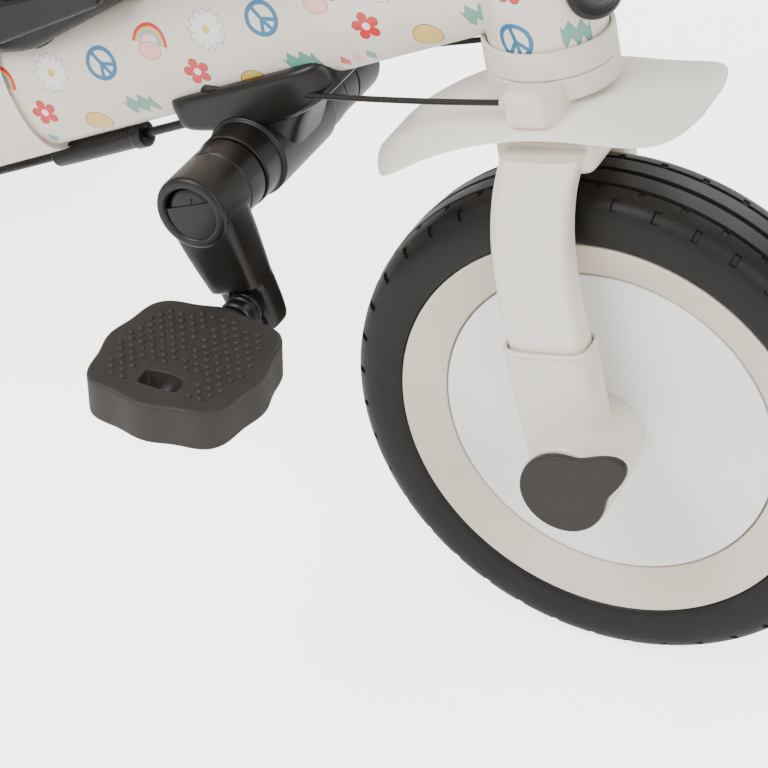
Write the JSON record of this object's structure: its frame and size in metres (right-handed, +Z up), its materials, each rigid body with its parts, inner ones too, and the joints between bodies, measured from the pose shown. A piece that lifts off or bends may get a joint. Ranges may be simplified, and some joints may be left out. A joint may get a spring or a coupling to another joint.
{
  "type": "tricycle",
  "caption": "Children's tricycle with one steered front wheel, cranks and pedals under the frame tube, a bucket seat and a telescopic push handle that steers.",
  "frame": {"origin": "on the ground, under the middle of the tricycle's box", "axes": "+X forward, +Y the rider's left, +Z up"},
  "size_m": [0.8442, 0.4316, 0.9751],
  "materials": {
    "ivory_paint": "satin",
    "ivory_plastic": "satin",
    "cream_plastic": "matt",
    "white_plastic": "satin",
    "beige_plastic": "matt",
    "tyre_rubber": "matt",
    "black_plastic": "satin",
    "grey_rubber": "matt",
    "grey_plastic": "matt",
    "steel": "brushed",
    "fabric": "woven"
  },
  "bodies": {
    "frame": {"main_tube": "ivory_paint", "head_tube": "ivory_paint", "head_badge": "black_plastic", "upper_collar": "cream_plastic", "headset_bush_lower": "black_plastic", "headset_bush_upper": "black_plastic", "crank_housing": "black_plastic", "crank_bush_left": "steel", "crank_bush_right": "steel", "cable_sheath": "black_plastic", "cable_sleeve": "black_plastic", "steering_cable_left": "black_plastic", "steering_cable_right": "black_plastic", "rear_housing": "ivory_plastic", "rear_axle": "steel", "brake_pin": "steel", "seat_clamp": "black_plastic", "seat_shell": "ivory_plastic", "seat_cushion": "fabric", "back_cushion": "fabric"},
    "fork": {"fork": "ivory_paint", "steerer_tube": "steel", "fork_end_left": "cream_plastic", "fork_end_right": "cream_plastic", "lower_collar": "cream_plastic", "front_fender": "white_plastic", "front_axle": "steel", "handlebar_stem": "ivory_plastic", "handlebar": "steel", "grip_left": "grey_rubber", "grip_right": "grey_rubber"},
    "front_wheel": {"front_tyre": "tyre_rubber", "front_rim": "beige_plastic", "front_disc_left": "white_plastic", "front_disc_right": "white_plastic", "hub_cap_left": "cream_plastic", "hub_cap_right": "cream_plastic"},
    "hub_knob_left": {"hub_knob_left": "black_plastic"},
    "hub_knob_right": {"hub_knob_right": "black_plastic"},
    "cranks": {"crank_spindle": "steel", "crank_left": "black_plastic", "crank_right": "black_plastic", "pedal_spindle_left": "steel", "pedal_spindle_right": "steel"},
    "crank_button_left": {"crank_button_left": "black_plastic"},
    "crank_button_right": {"crank_button_right": "black_plastic"},
    "pedal_left": {"pedal_left": "grey_plastic"},
    "pedal_right": {"pedal_right": "grey_plastic"},
    "rear_wheel_left": {"rear_left_tyre": "tyre_rubber", "rear_left_rim": "beige_plastic", "rear_cap_left": "cream_plastic"},
    "rear_wheel_right": {"rear_right_tyre": "tyre_rubber", "rear_right_rim": "beige_plastic", "rear_cap_right": "cream_plastic"},
    "seat_lever": {"seat_lever": "black_plastic"},
    "brake_pedal": {"brake_pedal": "black_plastic"},
    "push_handle": {"push_tube_lower": "ivory_paint"},
    "push_upper": {"push_tube_upper": "steel", "push_grip": "grey_rubber"}
  },
  "joints": [
    {"name": "steering", "type": "hinge", "parent": "frame", "child": "fork", "pos_m": [0.28922, 0, 0.127], "axis": [-0.1977, 0, 0.9803], "range_deg": [-35, 35], "deforming": ["steering_cable_left", "steering_cable_right"]},
    {"name": "front_wheel_spin", "type": "hinge", "parent": "fork", "child": "front_wheel", "pos_m": [0.29512, 0, 0.127], "axis": [0, 1, 0], "continuous": true},
    {"name": "hub_knob_left_turn", "type": "hinge", "parent": "fork", "child": "hub_knob_left", "pos_m": [0.29512, 0, 0.127], "axis": [0, 1, 0], "range_deg": [0, 90]},
    {"name": "hub_knob_right_turn", "type": "hinge", "parent": "fork", "child": "hub_knob_right", "pos_m": [0.29512, 0, 0.127], "axis": [0, 1, 0], "range_deg": [0, 90]},
    {"name": "crank_spin", "type": "hinge", "parent": "frame", "child": "cranks", "pos_m": [0.11712, 0, 0.23], "axis": [0, 1, 0], "continuous": true},
    {"name": "crank_button_left_press", "type": "slide", "parent": "cranks", "child": "crank_button_left", "axis": [0, -1, 0], "range_m": [0, 0.003], "stiffness_N_per_m": 300},
    {"name": "crank_button_right_press", "type": "slide", "parent": "cranks", "child": "crank_button_right", "axis": [0, 1, 0], "range_m": [0, 0.003], "stiffness_N_per_m": 300},
    {"name": "pedal_left_spin", "type": "hinge", "parent": "cranks", "child": "pedal_left", "pos_m": [0.09619, 0, 0.27978], "axis": [0, 1, 0], "continuous": true},
    {"name": "pedal_right_spin", "type": "hinge", "parent": "cranks", "child": "pedal_right", "pos_m": [0.13805, 0, 0.18022], "axis": [0, 1, 0], "continuous": true},
    {"name": "rear_wheel_left_spin", "type": "hinge", "parent": "frame", "child": "rear_wheel_left", "pos_m": [-0.24988, 0, 0.1], "axis": [0, 1, 0], "continuous": true},
    {"name": "rear_wheel_right_spin", "type": "hinge", "parent": "frame", "child": "rear_wheel_right", "pos_m": [-0.24988, 0, 0.1], "axis": [0, 1, 0], "continuous": true},
    {"name": "seat_lever_turn", "type": "hinge", "parent": "frame", "child": "seat_lever", "pos_m": [-0.00916, -0.03, 0.27403], "axis": [0, 1, 0], "range_deg": [0, 100]},
    {"name": "brake_pedal_press", "type": "hinge", "parent": "frame", "child": "brake_pedal", "pos_m": [-0.28388, 0.102, 0.1], "axis": [0, -1, 0], "range_deg": [0, 18]},
    {"name": "push_turn", "type": "hinge", "parent": "frame", "child": "push_handle", "pos_m": [-0.17488, 0, 0.205], "axis": [-0.2924, 0, 0.9563], "range_deg": [-35, 35]},
    {"name": "push_telescope", "type": "slide", "parent": "push_handle", "child": "push_upper", "axis": [0.2924, 0, -0.9563], "range_m": [0, 0.16]}
  ],
  "couplings": [
    {"joint": "push_turn", "follows": "steering", "ratio": 1}
  ]
}
